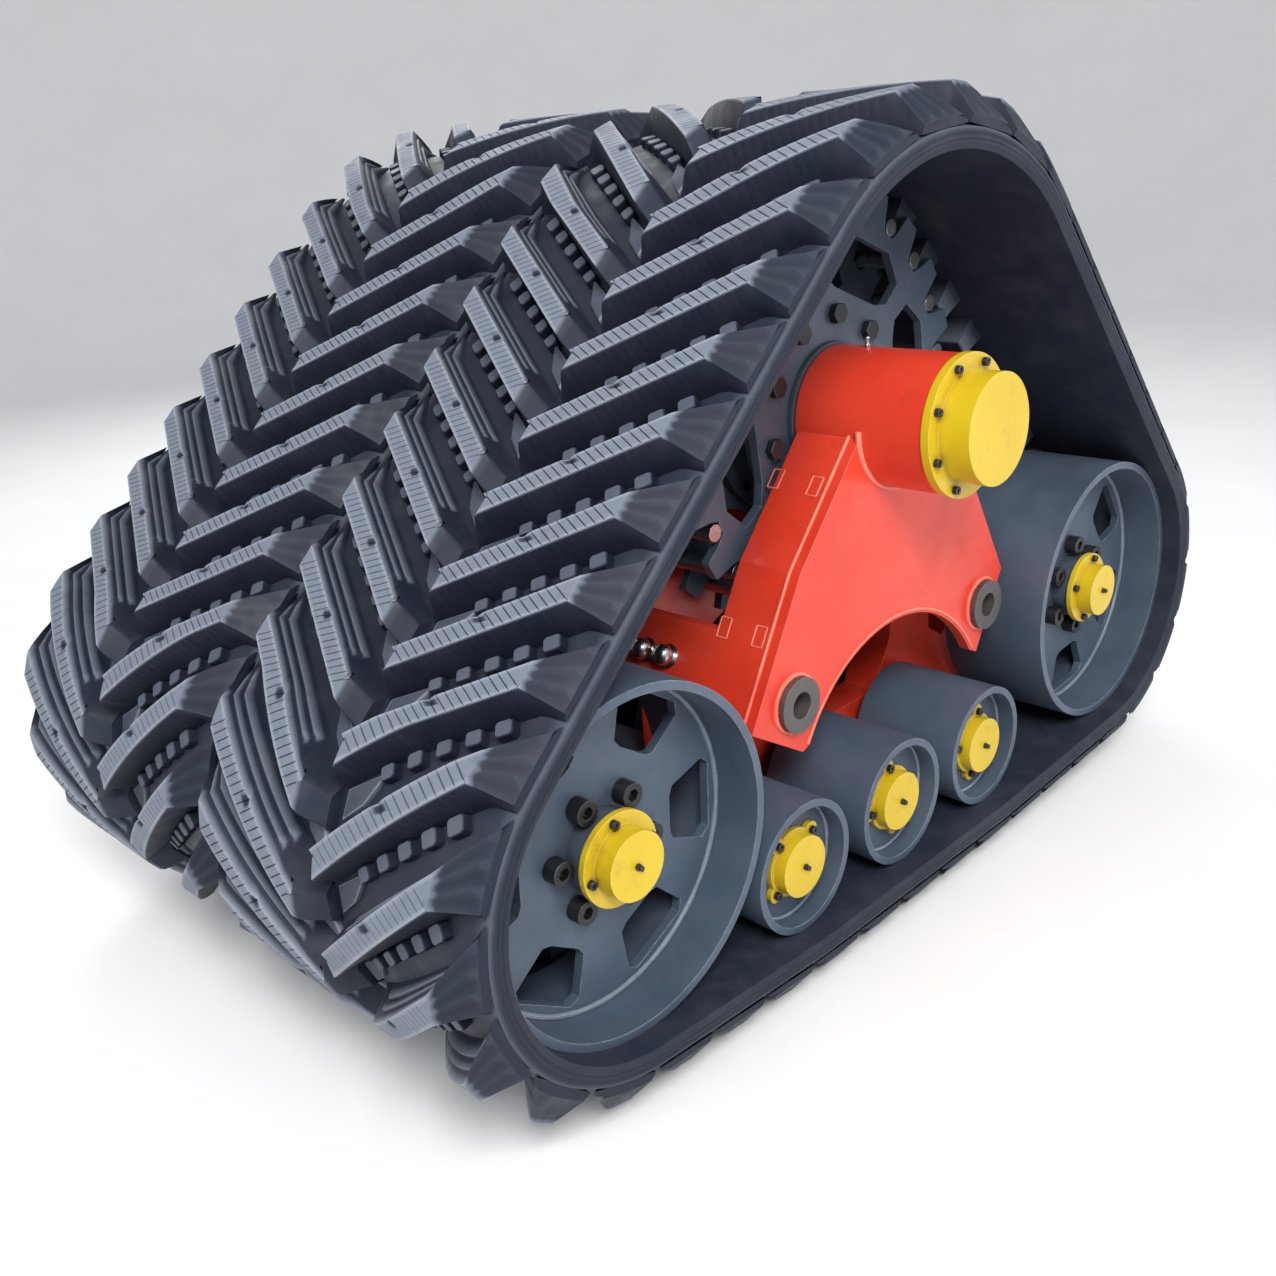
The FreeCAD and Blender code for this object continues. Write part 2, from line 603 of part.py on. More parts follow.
# ---------------------------------------------------------------- track tensioner
ARM = [(-190, 270), (-190, 330), (-480, 330), (-600, 430), (-700, 330), (-640, 290), (-560, 270)]
arms = []
cylinders = []
for tag, side in SIDES:
    y_a = side * (size("mid_y") - size("arm_depth"))
    y_b = side * (size("mid_y") - size("arm_depth") - size("arm_wide"))
    corners = [Vector(x, min(y_a, y_b), z) for x, z in ARM]
    arm = Part.Face(Part.makePolygon(corners + corners[:1])).extrude(Vector(0, size("arm_wide"), 0))
    eye = spun([(size("bearing_r") + 16, size("arm_depth"), size("arm_depth") + size("arm_wide"))],
               -size("idler_x"), idler_z, side)
    hole = spun([(size("bearing_r"), size("arm_depth") - 1, size("arm_depth") + size("arm_wide") + 1)],
                -size("idler_x"), idler_z, side)
    arms.append(arm.fuse(eye).cut(hole).removeSplitter())
    y_mid = (y_a + y_b) / 2
    cylinders.append(Part.makeCylinder(18.0, 45.0, Vector(-155.0, y_mid, 300.0), Vector(1, 0, 0)))
node(group("tensioner_arms", arms), "tensioner_arms")
node(group("tension_cylinders", cylinders), "tension_cylinders")

# ---------------------------------------------------------------- drive shaft and sprockets
node(rod("drive_shaft", p("drive_r"), HUB[0], HUB[1], across(-1, "-36"), across(1, "-36")), "drive_shaft")


def sprocket_profile():
    """Toothed outline, rounded windows and bolt holes of a sprocket disc, centred on its axis."""
    teeth = int(size("tooth_count"))
    points = []
    for n in range(teeth):
        middle = 2 * math.pi * n / teeth
        for share, radius in ((-0.17, size("tooth_r")), (0.17, size("tooth_r")),
                              (0.27, size("notch_r") + 16), (0.36, size("notch_r")),
                              (0.64, size("notch_r")), (0.73, size("notch_r") + 16)):
            a = middle + share * 2 * math.pi / teeth
            points.append((size("hub_x") + radius * math.cos(a), size("hub_high") + radius * math.sin(a)))
    return points


def window(count, start, shape):
    """Closed windows repeated round the sprocket axis from (radius, degrees) corners."""
    windows = []
    for n in range(count):
        turn = start + 360.0 * n / count
        corners = []
        for radius, degrees in shape:
            a = math.radians(turn + degrees)
            corners.append((size("hub_x") + radius * math.cos(a), size("hub_high") + radius * math.sin(a)))
        windows.append(corners)
    return windows


SPROCKET_WINDOW = [(196, -17), (218, -25), (262, -25), (285, -14), (285, 14), (262, 25), (218, 25), (196, 17)]


def prism(points, side, depth, thick):
    """Polygon in XZ extruded between two depths."""
    y_a = side * (size("mid_y") - depth)
    y_b = side * (size("mid_y") - depth - thick)
    corners = [Vector(x, min(y_a, y_b), z) for x, z in points]
    return Part.Face(Part.makePolygon(corners + corners[:1])).extrude(Vector(0, thick, 0))


def sprocket_disc(side, depth):
    """One sprocket disc with windows, bar holes and bolt holes."""
    thick = size("disc_thick")
    disc = prism(sprocket_profile(), side, depth, thick)
    tools = [prism(corners, side, depth - 1, thick + 2) for corners in window(6, 8.0, SPROCKET_WINDOW)]
    x, z = size("hub_x"), size("hub_high")
    tools.append(spun([(70.0, depth - 1, depth + thick + 1)], x, z, side))
    for bx, bz in around(x, z, size("disc_bolt_ring"), 10, 12.0):
        tools.append(spun([(10.2, depth - 1, depth + thick + 1)], bx, bz, side))
    for bx, bz in around(x, z, size("bar_ring"), int(size("tooth_count")), 180.0 / size("tooth_count")):
        tools.append(spun([(size("bar_r"), depth - 1, depth + thick + 1)], bx, bz, side))
    return disc.cut(tools)


sprocket_hubs = []
bars = []
disc_bolts = []
for tag, side in SIDES:
    x, z = size("hub_x"), size("hub_high")
    outer_depth = size("disc_depth")
    inner_depth = 2 * size("track_mid") - outer_depth - size("disc_thick")
    thick = size("disc_thick")
    pair = [sprocket_disc(side, outer_depth), sprocket_disc(side, inner_depth)]
    node(group(f"sprocket_discs_{tag}", pair), f"sprocket_discs_{tag}")
    hub = spun([(112.0, 190.0, outer_depth), (70.0, outer_depth, inner_depth + thick),
                (178.0, outer_depth + thick, outer_depth + thick + 18),
                (178.0, inner_depth - 18, inner_depth),
                (112.0, inner_depth + thick, inner_depth + thick + 8)], x, z, side, size("drive_r"))
    bolt_spots = around(x, z, size("disc_bolt_ring"), 10, 12.0)
    for bx, bz in bolt_spots:
        hub = hub.cut(spun([(10.2, outer_depth, inner_depth + thick)], bx, bz, side))
        disc_bolts.append(hex_bolt(bx, bz, side, outer_depth, 30.0, 13.0, 10.0, thick + 18))
    sprocket_hubs.append(hub)
    for bx, bz in around(x, z, size("bar_ring"), int(size("tooth_count")), 180.0 / size("tooth_count")):
        bars.append(spun([(size("bar_r"), outer_depth, inner_depth + thick)], bx, bz, side))
node(group("sprocket_hubs", sprocket_hubs), "sprocket_hubs")
node(group("drive_bars", bars), "drive_bars")
node(group("sprocket_bolts", disc_bolts), "sprocket_bolts")

# ---------------------------------------------------------------- idler wheels
IDLER_WINDOW = [(143, -11), (152, -16), (217, -17), (228, -13), (228, 13), (217, 17), (152, 16), (143, 11)]


def wheel_half(x, side, depth, web_depth, turn):
    """Idler rim with its windowed web, bored for the hub nose and the wheel bolts."""
    wide = size("wheel_wide")
    rim = spun([(size("idler_r"), depth, depth + wide)], x, idler_z, side,
               size("idler_r") - size("idler_wall"))
    thick = size("web_thick")
    disc = spun([(size("idler_r") - size("idler_wall") + 0.5, web_depth, web_depth + thick)],
                x, idler_z, side, size("hub_r"))
    tools = []
    for n in range(6):
        corners = []
        for radius, degrees in IDLER_WINDOW:
            a = math.radians(turn + 60.0 * n + degrees)
            corners.append((x + radius * math.cos(a), idler_z + radius * math.sin(a)))
        tools.append(prism(corners, side, web_depth - 1, thick + 2))
    for bx, bz in around(x, idler_z, size("bolt_ring"), 6, turn - 3.0):
        tools.append(spun([(size("bolt_r") + 0.3, web_depth - 1, web_depth + thick + 1)], bx, bz, side))
    return rim.fuse(disc.cut(tools)).removeSplitter()


def cap_blank(x, z, side, face, flange_out, screw_turn, lobed):
    """Wheel cap: nose and screwed flange, hollow behind."""
    flange_in = flange_out + size("cap_flange_thick")
    flange = spun([(size("cap_flange_r") if not lobed else size("cap_nose_r") + 6, flange_out, flange_in)],
                  x, z, side)
    spots = around(x, z, size("cap_ring"), 4, screw_turn)
    if lobed:
        flange = flange.fuse([spun([(13.0, flange_out, flange_in)], sx, sz, side) for sx, sz in spots])
    cap = flange.fuse(spun([(size("cap_nose_r"), face, flange_out)], x, z, side))
    tools = [spun([(size("screw_r") + 0.2, flange_out - 1, flange_in + 1)], sx, sz, side) for sx, sz in spots]
    tools.append(spun([(size("cap_nose_r") - 8, face + 7, flange_in + 1)], x, z, side))
    tools.append(spun([(3.2, face - 1, face + 8)], x, z, side))
    return cap.cut(tools).removeSplitter()


def cap_fittings(x, z, side, face, flange_out, screw_turn):
    """Cap screws and the grease nipple of one wheel cap."""
    fittings = [socket_screw(sx, sz, side, flange_out, size("screw_head_r"), size("screw_head_high"),
                             size("screw_r"), size("cap_flange_thick") - 0.5)
                for sx, sz in around(x, z, size("cap_ring"), 4, screw_turn)]
    nipple = spun([(3.0, face - 5, face + 6), (5.0, face - 4, face), (4.0, face - 9, face - 5)], x, z, side)
    fittings.append(nipple)
    return fittings


def idler_line(tag, x, turn, bolt_turn):
    """Axle, four wheel halves, hubs, bolts and caps of the front or rear idlers."""
    node(rod(f"{tag}_axle", p("axle_r"), f"{'-' if x < 0 else ''}{p('idler_x')}", IDLER_Z,
             across(-1, "47"), across(1, "47")), f"{tag}_axle")
    hubs = []
    bolts = []
    caps = []
    fittings = []
    inner_web = 2 * size("track_mid") - size("web_depth") - size("web_thick")
    for name, side in SIDES:
        halves = [wheel_half(x, side, 0.0, size("web_depth"), turn),
                  wheel_half(x, side, 2 * size("track_mid") - size("wheel_wide"), inner_web, turn)]
        node(group(f"{tag}_wheels_{name}", halves), f"{tag}_wheels_{name}")
        web_back = size("web_depth") + size("web_thick")
        outer_hub = spun([(size("hub_r"), 46.0, web_back), (size("flange_r"), web_back, web_back + 20),
                          (70.0, web_back + 20, 190.0)], x, idler_z, side, size("axle_r"))
        mirror_at = 2 * size("track_mid")
        inner_hub = spun([(size("hub_r"), mirror_at - web_back, mirror_at - 46.0),
                          (size("flange_r"), mirror_at - web_back - 20, mirror_at - web_back),
                          (70.0, mirror_at - 190.0, mirror_at - web_back - 20)],
                         x, idler_z, side, size("axle_r"))
        for bx, bz in around(x, idler_z, size("bolt_ring"), 6, turn - 3.0):
            bolt_hole = spun([(size("bolt_r") + 0.3, web_back - 1, web_back + 21)], bx, bz, side)
            outer_hub = outer_hub.cut(bolt_hole)
            inner_hub = inner_hub.cut(spun([(size("bolt_r") + 0.3, mirror_at - web_back - 21,
                                             mirror_at - web_back + 1)], bx, bz, side))
            bolts.append(socket_screw(bx, bz, side, size("web_depth"), size("bolt_head_r"),
                                      size("bolt_head_high"), size("bolt_r"), 35.0))
            flipped = socket_screw(bx, bz, -side, size("web_depth"), size("bolt_head_r"),
                                   size("bolt_head_high"), size("bolt_r"), 35.0)
            flipped.translate(Vector(0, side * 2 * (size("mid_y") - size("track_mid")), 0))
            bolts.append(flipped)
        hubs += [outer_hub, inner_hub]
        flange_out = 46.0 - size("cap_flange_thick")
        caps.append(cap_blank(x, idler_z, side, size("idler_cap"), flange_out, bolt_turn, False))
        fittings += cap_fittings(x, idler_z, side, size("idler_cap"), flange_out, bolt_turn)
    node(group(f"{tag}_hubs", hubs), f"{tag}_hubs")
    node(group(f"{tag}_wheel_bolts", bolts), f"{tag}_wheel_bolts")
    node(group(f"{tag}_caps", caps), f"{tag}_caps")
    node(group(f"{tag}_cap_fittings", fittings), f"{tag}_cap_fittings")


idler_line("front_idler", -size("idler_x"), 57.0, 100.0)
idler_line("rear_idler", size("idler_x"), 35.0, 75.0)

# ---------------------------------------------------------------- track rollers
for n, x in enumerate(roller_x, start=1):
    tag = f"roller_{n}"
    x_text = f"{p('roller_first')}+{n - 1}*{p('roller_step')}"
    node(rod(f"{tag}_shaft", p("roller_shaft_r"), x_text, ROLLER_Z, across(-1, "36"), across(1, "36")),
         f"{tag}_shaft")
    drums = []
    caps = []
    fittings = []
    screw_turn = (40.0, 7.0, 80.0)[n - 1]
    mirror_at = 2 * size("track_mid")
    end_in = size("roller_end") + 18
    rim_in = size("roller_r") - size("roller_wall")
    for name, side in SIDES:
        rims = [(0.0, size("wheel_wide"), size("roller_end"), end_in, end_in, 200.0),
                (mirror_at - size("wheel_wide"), mirror_at, mirror_at - end_in,
                 mirror_at - size("roller_end"), mirror_at - 200.0, mirror_at - end_in)]
        for rim_a, rim_b, end_a, end_b, barrel_a, barrel_b in rims:
            rim = spun([(size("roller_r"), rim_a, rim_b)], x, roller_z, side, rim_in)
            core = spun([(rim_in + 0.5, end_a, end_b), (52.0, barrel_a, barrel_b)],
                        x, roller_z, side, size("roller_shaft_r"))
            drums.append(rim.fuse(core).removeSplitter())
        flange_out = size("roller_end") - size("cap_flange_thick")
        caps.append(cap_blank(x, roller_z, side, size("roller_cap"), flange_out, screw_turn, True))
        fittings += cap_fittings(x, roller_z, side, size("roller_cap"), flange_out, screw_turn)
    node(group(f"{tag}_drums", drums), f"{tag}_drums")
    node(group(f"{tag}_caps", caps), f"{tag}_caps")
    node(group(f"{tag}_cap_fittings", fittings), f"{tag}_cap_fittings")

# ---------------------------------------------------------------- checks and export
ONE_PIECE = ("outer_plate", "inner_plate", "front_web", "rear_web", "centre_beam", "hub_tube", "track")
doc.recompute()
for obj in doc.Objects:
    if "Invalid" in obj.State or "Error" in obj.State:
        raise RuntimeError(f"{obj.Name} did not recompute: {obj.State}")
for obj in NODES:
    if obj.Shape.isNull() or not obj.Shape.isValid():
        raise RuntimeError(f"{obj.Label} has no valid shape")
    if obj.Label.startswith(ONE_PIECE) and len(obj.Shape.Solids) != 1:
        raise RuntimeError(f"{obj.Label} should be one solid")
    obj.Shape.exportStep(f"parts/{obj.Label}.step")
print(f"{len(NODES)} pieces written")
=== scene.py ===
import json
import math
import bpy
from mathutils import Matrix, Vector


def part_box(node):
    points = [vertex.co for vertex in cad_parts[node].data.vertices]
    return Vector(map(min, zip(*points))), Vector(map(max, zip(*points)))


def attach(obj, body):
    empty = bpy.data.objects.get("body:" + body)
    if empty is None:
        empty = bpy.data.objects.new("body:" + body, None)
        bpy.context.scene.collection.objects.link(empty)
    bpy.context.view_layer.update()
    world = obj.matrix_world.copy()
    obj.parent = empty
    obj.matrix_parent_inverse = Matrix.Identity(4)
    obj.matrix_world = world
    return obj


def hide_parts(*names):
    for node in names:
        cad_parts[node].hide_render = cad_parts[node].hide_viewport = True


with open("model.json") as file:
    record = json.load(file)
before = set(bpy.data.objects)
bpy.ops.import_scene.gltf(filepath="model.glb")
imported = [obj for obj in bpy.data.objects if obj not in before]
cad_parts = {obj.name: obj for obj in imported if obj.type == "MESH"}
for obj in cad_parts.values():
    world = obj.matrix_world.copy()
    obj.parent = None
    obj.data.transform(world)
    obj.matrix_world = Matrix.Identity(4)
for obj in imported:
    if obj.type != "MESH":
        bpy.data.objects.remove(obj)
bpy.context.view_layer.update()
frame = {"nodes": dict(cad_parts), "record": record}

# Twin-track crawler chassis, in metres, in the frame of the CAD model: X along the travel
# direction (front idlers at -X), Y across the tracks and Z up from the ground.
# "Depth" runs inward from the outer rim face of the wheels of one track unit.
SIDES = (("near", -1), ("far", 1))
MID_Y = 0.5775                    # outer rim face to mid-plane
IDLER_R = 0.254
ROLLER_R = 0.1095
ROLL_GAP = 0.0005
HUB_X, HUB_Z = 0.0357, 0.8285
WRAP_R = 0.390
TUBE_R = 0.107
ROLLER_X = (-0.3068, -0.0447, 0.2174)

idler_low, idler_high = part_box("front_idler_wheels_near")
idler_z = (idler_low.z + idler_high.z) / 2
idler_x = -(idler_low.x + idler_high.x) / 2
roller_low, roller_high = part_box("roller_1_drums")
roller_z = (roller_low.z + roller_high.z) / 2


def across(side, depth):
    """Y position at a depth on one side."""
    return side * (MID_Y - depth)


# ---------------------------------------------------------------- node materials
def socket_link(tree, source, target):
    """Joins two sockets of a node tree."""
    tree.links.new(source, target)


def add_node(tree, kind, **values):
    """New shader node with its plain properties set."""
    made = tree.nodes.new(kind)
    for key, value in values.items():
        setattr(made, key, value)
    return made


def noise(tree, coords, scale, detail=4.0, rough=0.6):
    """Noise texture on object coordinates."""
    texture = add_node(tree, "ShaderNodeTexNoise")
    texture.inputs["Scale"].default_value = scale
    texture.inputs["Detail"].default_value = detail
    texture.inputs["Roughness"].default_value = rough
    socket_link(tree, coords, texture.inputs["Vector"])
    return texture.outputs["Fac"]


def span(tree, value, low, high, to_low=0.0, to_high=1.0):
    """Value remapped from low..high to to_low..to_high, clamped."""
    remap = add_node(tree, "ShaderNodeMapRange", clamp=True)
    for socket, number in zip(("From Min", "From Max", "To Min", "To Max"), (low, high, to_low, to_high)):
        remap.inputs[socket].default_value = number
    socket_link(tree, value, remap.inputs["Value"])
    return remap.outputs["Result"]


def times(tree, a, b):
    """Product of two value sockets."""
    product = add_node(tree, "ShaderNodeMath", operation="MULTIPLY")
    socket_link(tree, a, product.inputs[0])
    socket_link(tree, b, product.inputs[1])
    return product.outputs[0]


def blend_colour(tree, factor, a, b):
    """Mix of two colours; each is a socket or a plain (r, g, b)."""
    mix = add_node(tree, "ShaderNodeMix", data_type="RGBA")
    socket_link(tree, factor, mix.inputs["Factor"])
    for socket, colour in ((mix.inputs[6], a), (mix.inputs[7], b)):
        if isinstance(colour, tuple):
            socket.default_value = (*colour, 1.0)
        else:
            socket_link(tree, colour, socket)
    return mix.outputs[2]


def new_material(name):
    """Empty material with its tree, shader and object coordinates."""
    material = bpy.data.materials.new(name)
    material.use_nodes = True
    tree = material.node_tree
    shader = tree.nodes["Principled BSDF"]
    coords = add_node(tree, "ShaderNodeTexCoord").outputs["Object"]
    return material, tree, shader, coords


def rounded_edges(tree, radius):
    """Rounded shading normal and a mask of the outer edges."""
    bevel = add_node(tree, "ShaderNodeBevel", samples=4)
    bevel.inputs["Radius"].default_value = radius
    facing = add_node(tree, "ShaderNodeVectorMath", operation="DOT_PRODUCT")
    geometry = add_node(tree, "ShaderNodeNewGeometry")
    socket_link(tree, bevel.outputs["Normal"], facing.inputs[0])
    socket_link(tree, geometry.outputs["Normal"], facing.inputs[1])
    return bevel.outputs["Normal"], span(tree, facing.outputs["Value"], 0.995, 0.86)


def bump(tree, height, strength, distance, normal=None):
    """Bump on top of an optional normal."""
    made = add_node(tree, "ShaderNodeBump")
    made.inputs["Strength"].default_value = strength
    made.inputs["Distance"].default_value = distance
    socket_link(tree, height, made.inputs["Height"])
    if normal is not None:
        socket_link(tree, normal, made.inputs["Normal"])
    return made.outputs["Normal"]


def coated(name, base, faded, grime_and_shade, edge, rough=0.35, metallic=0.0, wear_and_highlight=0.6, dirt_and_shade=0.5,
           grain=240.0, coat=0.0):
    """Painted or bare metal: faded patches, smudges of dirt, painted shade darkening the corners, edges
    lightened partly as wear and partly as a painted highlight, and a fine skin texture.
    """
    material, tree, shader, coords = new_material(name)
    patches = span(tree, noise(tree, coords, 5.0, 6.0), 0.38, 0.70)
    colour = blend_colour(tree, patches, base, faded)
    # Painted shade: the ambient occlusion mask darkens corners and hollows toward the grime colour, where
    # shade falls; the noise smudges below are dirt.
    hollow = add_node(tree, "ShaderNodeAmbientOcclusion", samples=4)
    hollow.inputs["Distance"].default_value = 0.035
    painted_corner_shade = span(tree, hollow.outputs["AO"], 0.75, 0.25, 0.0, dirt_and_shade)
    smudges = span(tree, noise(tree, coords, 14.0, 8.0, 0.7), 0.57, 0.80, 0.0, dirt_and_shade)
    colour = blend_colour(tree, painted_corner_shade, colour, grime_and_shade)
    colour = blend_colour(tree, smudges, colour, grime_and_shade)
    # Edges: a lighter edge colour is painted on every outer edge, partly as worn paint and partly as a
    # painted highlight; the bevel normal rounds the shading.
    normal, edges = rounded_edges(tree, 0.0022)
    chips_and_highlight = times(tree, edges, span(tree, noise(tree, coords, 70.0, 3.0), 0.35, 0.60, 0.15, wear_and_highlight))
    colour = blend_colour(tree, chips_and_highlight, colour, edge)
    socket_link(tree, colour, shader.inputs["Base Color"])
    gloss = span(tree, noise(tree, coords, 22.0, 5.0), 0.3, 0.7, rough - 0.07, rough + 0.13)
    socket_link(tree, gloss, shader.inputs["Roughness"])
    shader.inputs["Metallic"].default_value = metallic
    shader.inputs["Coat Weight"].default_value = coat
    skin = noise(tree, coords, grain, 3.0)
    socket_link(tree, bump(tree, skin, 0.12, 0.0008, normal), shader.inputs["Normal"])
    return material


def rubber():
    """Moulded track rubber coloured from each mesh's tone: painted shade on the flanks and in the hollows,
    bar tops painted a lighter grey as lit, painted highlights on the edges, and noise dust and stains.
    """
    material, tree, shader, coords = new_material("track_rubber_look")
    tone = add_node(tree, "ShaderNodeAttribute", attribute_name="tone").outputs["Fac"]
    ramp = add_node(tree, "ShaderNodeValToRGB")
    # The tone ramp runs from painted shade through plain rubber and the lit grey of the tops to a painted
    # highlight.
    stops = ((0.0, (0.009, 0.013, 0.025)), (0.4, (0.017, 0.022, 0.037)), (0.75, (0.128, 0.152, 0.196)),
             (1.0, (0.25, 0.27, 0.31)))
    elements = ramp.color_ramp.elements
    while len(elements) < len(stops):
        elements.new(0.5)
    for element, (place, colour) in zip(elements, stops):
        element.position = place
        element.color = (*colour, 1.0)
    socket_link(tree, tone, ramp.inputs["Fac"])
    # Dust: noise patches of grey dust, laid more heavily on the lighter, lit tones.
    dust_and_highlight = times(tree, span(tree, noise(tree, coords, 9.0, 8.0, 0.7), 0.46, 0.74, 0.0, 0.42),
                 span(tree, tone, 0.2, 1.0, 0.12, 1.0))
    colour = blend_colour(tree, dust_and_highlight, ramp.outputs["Color"], (0.150, 0.158, 0.175))
    stain = span(tree, noise(tree, coords, 31.0, 6.0), 0.56, 0.75, 0.0, 0.35)
    colour = blend_colour(tree, stain, colour, (0.022, 0.027, 0.040))
    socket_link(tree, colour, shader.inputs["Base Color"])
    gloss = span(tree, noise(tree, coords, 18.0, 6.0), 0.3, 0.7, 0.42, 0.68)
    socket_link(tree, gloss, shader.inputs["Roughness"])
    shader.inputs["Specular IOR Level"].default_value = 0.20
    fine = bump(tree, noise(tree, coords, 420.0, 3.0), 0.20, 0.0006)
    socket_link(tree, bump(tree, noise(tree, coords, 45.0, 4.0), 0.18, 0.0020, fine), shader.inputs["Normal"])
    return material


# The edge colours are lighter tints of each finish, used for worn edges and for painted edge highlights.
ORANGE = dict(base=(0.64, 0.036, 0.015), faded=(0.75, 0.056, 0.026), grime_and_shade=(0.26, 0.030, 0.022),
              edge=(0.95, 0.24, 0.16))
STEEL_BLUE = dict(base=(0.060, 0.086, 0.128), faded=(0.092, 0.122, 0.168), grime_and_shade=(0.030, 0.036, 0.048),
                  edge=(0.30, 0.34, 0.40))
LOOKS = {
    "frame_paint": coated("frame_paint_look", **ORANGE, rough=0.34, wear_and_highlight=0.55, dirt_and_shade=0.46, coat=0.08),
    "wheel_paint": coated("wheel_paint_look", **STEEL_BLUE, rough=0.42, metallic=0.15, wear_and_highlight=0.9, dirt_and_shade=0.5),
    "cap_yellow": coated("cap_yellow_look", (0.58, 0.40, 0.007), (0.64, 0.46, 0.014), (0.27, 0.15, 0.012),
                         (0.95, 0.86, 0.32), rough=0.34, wear_and_highlight=0.5, dirt_and_shade=0.70, coat=0.1),
    "black_oxide": coated("black_oxide_look", (0.030, 0.032, 0.036), (0.055, 0.056, 0.060),
                          (0.012, 0.012, 0.012), (0.22, 0.22, 0.23), rough=0.36, metallic=0.7, wear_and_highlight=0.7),
    "bush_steel": coated("bush_steel_look", (0.095, 0.088, 0.088), (0.145, 0.130, 0.125),
                         (0.035, 0.030, 0.028), (0.34, 0.32, 0.31), rough=0.46, metallic=0.55, wear_and_highlight=0.6,
                         grain=120.0),
    "dark_casting": coated("dark_casting_look", (0.045, 0.060, 0.085), (0.066, 0.084, 0.112),
                           (0.018, 0.021, 0.027), (0.18, 0.20, 0.23), rough=0.50, wear_and_highlight=0.6, grain=90.0),
    "shaft_steel": coated("shaft_steel_look", (0.42, 0.42, 0.43), (0.50, 0.50, 0.51), (0.12, 0.11, 0.10),
                          (0.80, 0.80, 0.80), rough=0.30, metallic=1.0, dirt_and_shade=0.6),
    "bearing_steel": coated("bearing_steel_look", (0.50, 0.50, 0.52), (0.60, 0.60, 0.61), (0.14, 0.13, 0.12),
                            (0.85, 0.85, 0.85), rough=0.26, metallic=1.0, dirt_and_shade=0.5),
    "zinc": coated("zinc_look", (0.62, 0.64, 0.66), (0.74, 0.75, 0.76), (0.25, 0.24, 0.22),
                   (0.92, 0.92, 0.92), rough=0.18, metallic=1.0, dirt_and_shade=0.3),
    "track_rubber": rubber(),
}
# The weld beads take lighter, glossier copies of the frame and wheel paints: a painted highlight on the
# beads.
WELD_ORANGE = coated("frame_weld_look", (0.80, 0.095, 0.055), (0.92, 0.20, 0.13), (0.35, 0.04, 0.03),
                     (0.98, 0.42, 0.32), rough=0.36, wear_and_highlight=0.8, dirt_and_shade=0.3, coat=0.15)
WELD_BLUE = coated("wheel_weld_look", (0.13, 0.165, 0.215), (0.22, 0.26, 0.32), (0.05, 0.06, 0.075),
                   (0.42, 0.46, 0.52), rough=0.40, metallic=0.2, wear_and_highlight=0.9, dirt_and_shade=0.3)

slot_of = {part["node"]: part["material_slot"] for part in frame["record"]["subparts"]}
for name, piece in frame["nodes"].items():
    piece.data.materials.clear()
    piece.data.materials.append(LOOKS[slot_of[name]])


# ---------------------------------------------------------------- path of a track
def track_path(offset):
    """Arcs and straights of the belt at an outward offset from its inner face, and their total length."""
    circles = ((-idler_x, idler_z, IDLER_R + ROLL_GAP), (ROLLER_X[0], roller_z, ROLLER_R + ROLL_GAP),
               (ROLLER_X[2], roller_z, ROLLER_R + ROLL_GAP), (idler_x, idler_z, IDLER_R + ROLL_GAP),
               (HUB_X, HUB_Z, WRAP_R + ROLL_GAP))
    leave = []
    for (xa, za, ra), (xb, zb, rb) in zip(circles, circles[1:] + circles[:1]):
        gap = math.hypot(xb - xa, zb - za)
        leave.append(math.atan2(zb - za, xb - xa) - math.pi / 2 + math.asin((ra - rb) / gap))
    pieces = []
    start = 0.0
    for n, (x, z, r) in enumerate(circles):
        turn = (leave[n] - leave[n - 1]) % (2 * math.pi)
        length = (r + offset) * turn
        pieces.append((start, length, "arc", (x, z, r + offset, leave[n - 1])))
        start += length
        xb, zb, rb = circles[(n + 1) % len(circles)]
        normal = (math.cos(leave[n]), math.sin(leave[n]))
        a = (x + (r + offset) * normal[0], z + (r + offset) * normal[1])
        b = (xb + (rb + offset) * normal[0], zb + (rb + offset) * normal[1])
        length = math.hypot(b[0] - a[0], b[1] - a[1])
        pieces.append((start, length, "line", (a, b, normal)))
        start += length
    return pieces, start


def track_point(path, along, out):
    """(x, z) of the point at a length along a path and a height out from it."""
    pieces, total = path
    along = along % total
    for start, length, kind, data in pieces:
        if along <= start + length:
            break
    if kind == "arc":
        x, z, r, a_in = data
        a = a_in + (along - start) / r
        return x + (r + out) * math.cos(a), z + (r + out) * math.sin(a)
    a, b, normal = data
    share = (along - start) / length
    return a[0] + share * (b[0] - a[0]) + out * normal[0], a[1] + share * (b[1] - a[1]) + out * normal[1]


# ---------------------------------------------------------------- rubber tracks
BELT_THICK = 0.040
CORD = 0.015                      # height of the belt's cords, along which the bars are spaced
EDGE_DEPTH = -0.041
BELT_WIDE = 0.610
HALF_WIDE = BELT_WIDE / 2
MID_DEPTH = 0.264
BAR_HIGH = 0.0548
BAR_SWEEP = 0.200
BAR_PITCH = 0.117
BAR_SINK = 0.004
GUIDE_PITCH = 0.108
GUIDE_DEPTH = 0.218
GUIDE_HIGH = 0.050
BELT_STEPS = 460                  # cross-sections round the belt
STUDS = 5                         # studs beside each half bar
STUD_FROM, STUD_STEP = 0.27, 0.122
STUD_WIDE, STUD_GROWS = 0.0160, 0.0008
STUD_HIGH = 0.014
# Stud tops are painted lighter, as lit, over sides in painted shade.
STUD_LIT_TONE = 0.58
STUD_AHEAD = 0.0415               # from the line of the bar behind
BAR_LEAN = math.atan(BAR_SWEEP / HALF_WIDE)
